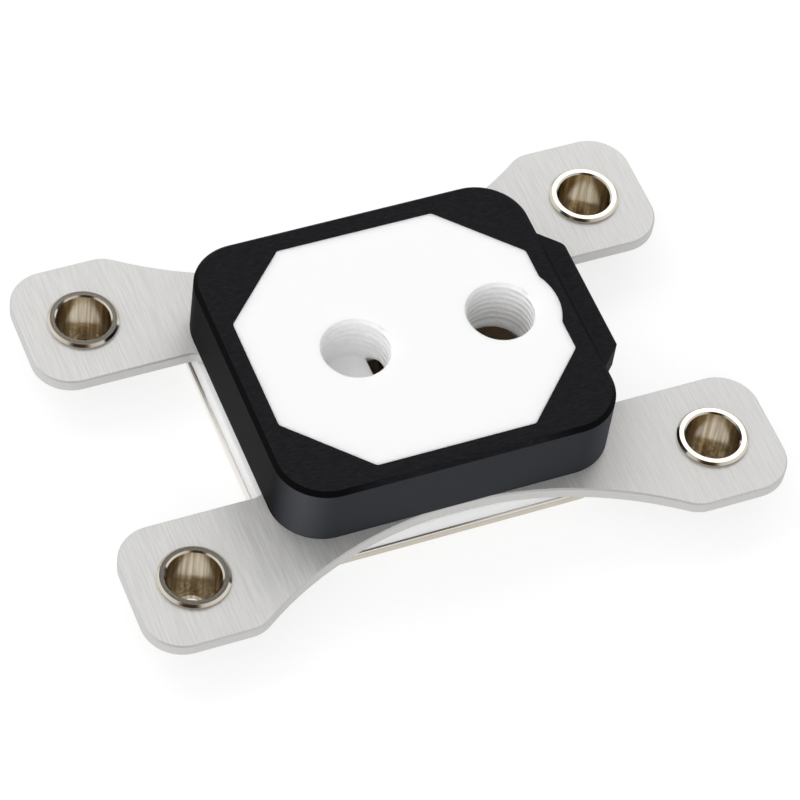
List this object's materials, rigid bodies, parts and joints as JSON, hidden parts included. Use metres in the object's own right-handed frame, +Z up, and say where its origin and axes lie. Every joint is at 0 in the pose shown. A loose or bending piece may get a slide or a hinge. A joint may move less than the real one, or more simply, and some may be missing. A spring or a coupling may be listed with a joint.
{
  "type": "liquid cooling cold plate",
  "caption": "Liquid cooling cold plate: ported plastic body in a dark cover frame, on a flat bracket whose arms end in flanged bushings.",
  "frame": {"origin": "under the middle of the bracket, level with the feet of the bushings", "axes": "+X along the long side of the bracket towards the outlet port, +Y towards the rear, +Z up through the ports"},
  "size_m": [0.116, 0.0808, 0.0225],
  "materials": {
    "black_acetal": "milled satin black acetal",
    "white_acetal": "milled white acetal",
    "bracket_steel": "steel plate with a straight brushed grain",
    "nickel_brass": "turned brass with bright nickel plating",
    "plated_copper": "copper with satin nickel plating, bare copper tone at the fins",
    "bare_copper": "thin rolled copper",
    "seal_rubber": "black nitrile cord",
    "screw_steel": "stainless steel"
  },
  "bodies": {
    "root": {"cover_frame": "black_acetal", "coolant_body": "white_acetal", "mounting_bracket": "bracket_steel", "cold_plate": "plated_copper", "jet_plate": "bare_copper", "inlet_seal": "seal_rubber", "base_seal": "seal_rubber", "bushing_front_left": "nickel_brass", "bushing_front_right": "nickel_brass", "bushing_rear_left": "nickel_brass", "bushing_rear_right": "nickel_brass", "frame_screw_front_left": "screw_steel", "frame_screw_front_right": "screw_steel", "frame_screw_rear_left": "screw_steel", "frame_screw_rear_right": "screw_steel", "base_screw_1": "screw_steel", "base_screw_2": "screw_steel", "base_screw_3": "screw_steel", "base_screw_4": "screw_steel", "base_screw_5": "screw_steel", "base_screw_6": "screw_steel", "base_screw_7": "screw_steel", "base_screw_8": "screw_steel"}
  },
  "joints": []
}
